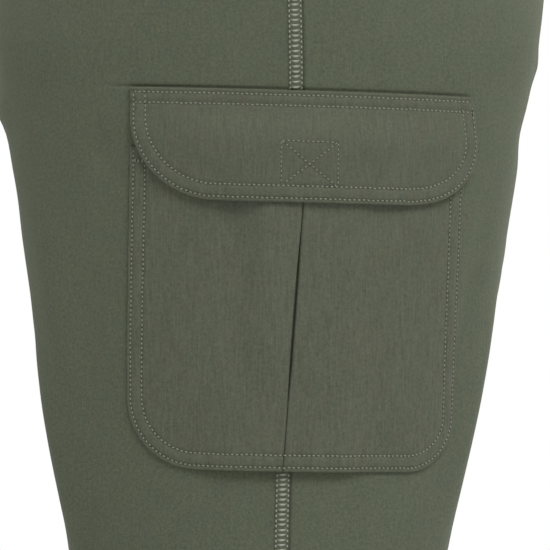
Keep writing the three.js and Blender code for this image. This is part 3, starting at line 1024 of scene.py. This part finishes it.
def flap_face(u, z):
    """The height of the flap's middle above the leg."""
    slit = u_at(through(SLIT, np.full_like(z, POCKET_TOP)), z)
    off = u - slit
    d = FLAP.from_edge(u, z)
    from_top = FLAP.top - z
    rise = ramp(from_top, 6, 27)
    over = POCKET_CLOTH + 2 * LAYER_GAP + 2 * LAYER * (1 - ramp(np.abs(off), 32, 62))
    h = SEAT_GAP + FLAP_CLOTH / 2 + rise * (over + FLAP_LIFT)
    h += FLAP_FULLNESS * ramp(from_top, 4, 20) * (1 - ramp(from_top, 30, 52)) * ramp(d, 6, 30)
    for across, width, down, tall, height in FLAP_SPOTS:
        h += height * bump_at(off, across, width) * bump_at(from_top, down, tall)
    h += rows_relief(d)
    for row in TOP_ROWS:
        h -= NEEDLE_TROUGH * bump_at(from_top, row, 0.75)
    h += 0.2 * bump_at(from_top, sum(TOP_ROWS) / 2, 1.8)
    h -= TOP_ROLL[0] * (1 - np.sqrt(np.clip(from_top / TOP_ROLL[1], 0, 1)))
    h -= BOX_TROUGH * bump_at(from_box(u, z), 0, 0.9)
    return h


def flap(mirror):
    """The double flap, thinner at its turned edges."""
    rows = FLAP.rows(1.0, CORNER_ROWS)
    rolled = FLAP.top - np.array([0, 0.15, 0.4, 0.7])
    levels = np.concatenate([rolled, rows[rows < FLAP.top - 0.9]])
    z = levels[:, None]
    back, front = (e[:, None] for e in FLAP.ends(levels))
    u = back + (front - back) * shares((0.08, 14), (0.92, 108), (1, 14))
    z = np.broadcast_to(z, u.shape)
    h = flap_face(u, z)
    zz = FLAP.level(u, z)
    d = FLAP.from_edge(u, z)
    half = FLAP_CLOTH / 2 * (THIN_EDGE + (1 - THIN_EDGE) * np.sqrt(np.clip(d, 0, 1)))
    outside = on_leg(u, zz, h + half)
    inside = on_leg(u, zz, np.maximum(h - rows_relief(d) * 0.5 - half, LEAST_GAP))
    cloth = np.stack([u, zz, np.full_like(u, FLAP_LAYER)], axis=-1)
    name = "flap" + leg_name(mirror)
    return name, wall_object(name + "_cloth", outside, inside, FLAP_MAT, cloth, mirror)


def flap_stitches(mirror):
    """The twin rows round the edge, the two that sew the flap on, and the crossed box."""
    place = patch_place(FLAP, flap_face, FLAP_CLOTH / 2)
    parts = [row_of_stitches(FLAP.row_line(inset, 2.5), place) for inset in (OUTER_ROW, INNER_ROW)]
    for below in TOP_ROWS:
        level = FLAP.top - below
        back, front = FLAP.ends(np.array([level]))
        across = np.linspace(back[0] - OUTER_ROW, front[0] + OUTER_ROW, 60)
        parts.append(row_of_stitches(np.stack([across, np.full_like(across, level)], 1), place))
    for line in box_lines():
        parts.append(row_of_stitches(line, place, radius=0.3, lift=0.3))
    return stitch_object("flap_stitches" + leg_name(mirror), parts, THREAD, mirror)


# ---- waistband

BAND_THICK = 3.0
BAND_PROUD = 0.8  # how far it stands out from the panels
BAND_STITCHES = 300  # in each row
BAND_COLUMNS = 560
BAND_ROUND = 145  # mm of cloth for each radian
BAND_ROLL = (0.9, 1.6)  # how far its edges roll in, and over what height
BAND_LIPS = np.array([0, 0.2, 0.6, 1.1])  # rows over which they do
PINNED_SHARE, PINNED_DEPTH = 0.55, 0.45  # how much a row of stitches flattens and draws in
BAND_CHANNELS = (4.0, 22.5, 41.0)  # stitched rows, down from the top edge
BAND_WAVES = [(46, 0.5), (61, 0.55), (83, 0.4), (29, 0.35)]  # waves in a turn, and size
BAND_PHASES = RNG.uniform(0, 2 * np.pi, (len(BAND_WAVES), 2))


def band_points(angle, z, height):
    """Points at a height above the waist's oval, and their outward directions."""
    _, _, half_depth, centre_y, _ = section(z)
    half_width = through(SECTIONS, z, OUTER)
    out = np.stack([-np.cos(angle) * half_depth, -np.sin(angle) * half_width, 0 * z], axis=-1)
    out /= np.linalg.norm(out, axis=-1, keepdims=True)
    x, y = -half_width * np.cos(angle), centre_y - half_depth * np.sin(angle)
    return np.stack([x, y, z + 0 * angle], axis=-1) + out * height[..., None], out


def band_relief(angle, z):
    """Ruched cloth over elastic, pinned at each stitched row."""
    down = -z
    pinned = sum(bump_at(down, row, 2.4) for row in BAND_CHANNELS)
    waves = np.zeros(np.broadcast(angle, z).shape)
    for (count, size), (phase, drift) in zip(BAND_WAVES, BAND_PHASES):
        waves += size * np.sin(count * angle + phase + 0.5 * np.sin(z / 9 + drift))
    pinned = np.clip(pinned, 0, 1)
    from_lip = np.minimum(down, BAND_HEIGHT - down)
    roll = BAND_ROLL[0] * (1 - np.sqrt(np.clip(from_lip / BAND_ROLL[1], 0, 1)))
    return waves * (1 - PINNED_SHARE * pinned) - PINNED_DEPTH * pinned - roll


def waistband():
    """A closed loop of cloth over elastic."""
    between_lips = np.linspace(1.7, BAND_HEIGHT - 1.7, 32)
    down = np.concatenate([BAND_LIPS, between_lips, BAND_HEIGHT - BAND_LIPS[::-1]])
    angle = np.linspace(0, 2 * np.pi, BAND_COLUMNS, endpoint=False)
    z, angle = np.meshgrid(-down, angle, indexing="ij")
    relief = band_relief(angle, z)
    outside, _ = band_points(angle, z, BAND_PROUD + relief)
    inside, _ = band_points(angle, z, BAND_PROUD - BAND_THICK + 0.35 * relief)
    cloth = np.stack([angle * BAND_ROUND, z, np.full_like(z, BAND_LAYER)], axis=-1)
    return wall_object("waistband_cloth", outside, inside, BAND_MAT, cloth, closed_round=True)


def band_stitches():
    """A ring of stitches in each channel."""
    def point(angle, level):
        z = np.full_like(angle, level)
        return band_points(angle, z, BAND_PROUD + band_relief(angle, z) + 0.1)

    parts = []
    step = 2 * np.pi / BAND_STITCHES
    angle = step * np.arange(BAND_STITCHES)
    for down in BAND_CHANNELS:
        a, up = point(angle + PLAIN_FILL[0] * step, -down)
        b, _ = point(angle + PLAIN_FILL[1] * step, -down)
        parts.append(stitches(a, b, up, 0.34, 0.4))
    return stitch_object("waistband_stitches", parts, THREAD)


# ---- pieces, each in place of its solid


def declare(name, piece, extras):
    """Attaches a piece and its stitches to the root, and hides the solid of the piece's name."""
    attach(piece, "root")
    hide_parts(name)
    for extra in extras:
        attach(extra, "root")


band = waistband()
band_rows = band_stitches()
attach(band, "root")
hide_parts("waistband")
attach(band_rows, "root")

for mirrored in (False, True):
    front_name, front_piece = panel(1, mirrored)
    back_name, back_piece = panel(-1, mirrored)
    declare(front_name, front_piece, [hem_stitches(mirrored)])
    declare(back_name, back_piece, [ladder(mirrored)])
    pocket_name, pocket_piece = pocket(mirrored)
    declare(pocket_name, pocket_piece, [pocket_stitches(mirrored)])
    flap_name, flap_piece = flap(mirrored)
    declare(flap_name, flap_piece, [flap_stitches(mirrored)])


# ---- stage, light and camera, in metres

VIEW_DISTANCE = 2.5  # from the pocket
VIEW_WIDTH = 0.275  # of the picture, at the pocket
POCKET_X = -0.178
VIEW_Z = -0.370
FLOOR_Z = -0.62
FLOOR_RADIUS = 1.6
FLOOR_SIDES = 96
FLOOR_GLOW = 0.3  # for the camera only, so that the floor looks white round the shadow
SENSOR = 36  # mm
WHITE = (1, 1, 1, 1)


def camera():
    """It looks along +X at the pocket of the wearer's right leg."""
    data = bpy.data.cameras.new("camera")
    data.sensor_width = SENSOR
    data.lens = SENSOR * VIEW_DISTANCE / VIEW_WIDTH
    data.clip_end = 50
    cam = bpy.data.objects.new("camera", data)
    cam.matrix_world = Matrix((
        (0, 0, -1, POCKET_X - VIEW_DISTANCE),
        (-1, 0, 0, 0),
        (0, 1, 0, VIEW_Z),
        (0, 0, 0, 1),
    ))
    bpy.context.scene.collection.objects.link(cam)
    bpy.context.scene.camera = cam


def sun(name, strength, direction, spread):
    """A soft light along a direction; spread is in degrees."""
    data = bpy.data.lights.new(name, "SUN")
    data.energy = strength
    data.angle = np.radians(spread)
    lamp = bpy.data.objects.new(name, data)
    lamp.rotation_mode = "QUATERNION"
    lamp.rotation_quaternion = Vector(direction).to_track_quat("-Z", "Y")
    bpy.context.scene.collection.objects.link(lamp)


def world(strength):
    """Soft even light, and plain white for what the camera sees straight or by reflection."""
    made = bpy.data.worlds.new("studio")
    bpy.context.scene.world = made
    made.use_nodes = True
    nt = made.node_tree
    background = nt.nodes["Background"]
    background.inputs["Color"].default_value = WHITE
    background.inputs["Strength"].default_value = strength
    white = node(nt, "Background", {"Color": WHITE, "Strength": 1.0})
    path = node(nt, "LightPath", {}).outputs
    bent = maths(nt, "MAXIMUM", path["Is Glossy Ray"], path["Is Transmission Ray"])
    seen = maths(nt, "MAXIMUM", path["Is Camera Ray"], bent)
    mix = node(nt, "MixShader", {0: seen, 1: background.outputs[0], 2: white.outputs[0]})
    nt.links.new(mix.outputs[0], nt.nodes["World Output"].inputs["Surface"])


def floor():
    """A pale round floor."""
    turn = 2 * np.pi * np.arange(FLOOR_SIDES) / FLOOR_SIDES
    mesh = bpy.data.meshes.new("floor")
    ring = [(FLOOR_RADIUS * np.cos(a), FLOOR_RADIUS * np.sin(a), FLOOR_Z) for a in turn]
    mesh.from_pydata(ring, [], [list(range(FLOOR_SIDES))])
    mat, nt, bsdf = principled("floor", FLOOR_SURFACE)
    camera_ray = node(nt, "LightPath", {}).outputs["Is Camera Ray"]
    glow = node(nt, "Emission", {"Strength": maths(nt, "MULTIPLY", camera_ray, FLOOR_GLOW)})
    both = node(nt, "AddShader", {0: bsdf.outputs[0], 1: glow.outputs[0]})
    nt.links.new(both.outputs[0], nt.nodes["Material Output"].inputs["Surface"])
    mesh.materials.append(mat)
    obj = bpy.data.objects.new("floor", mesh)
    bpy.context.scene.collection.objects.link(obj)


camera()
world(0.42)
sun("key", 2.1, (0.6, 0.3, -0.76), 26)
sun("fill_left", 0.45, (-0.8, 0.25, -0.5), 70)
sun("fill_front", 0.35, (0.15, 0.9, -0.35), 70)
sun("fill_back", 0.35, (0.1, -0.9, -0.35), 70)
floor()
bpy.context.scene.view_settings.view_transform = "Standard"
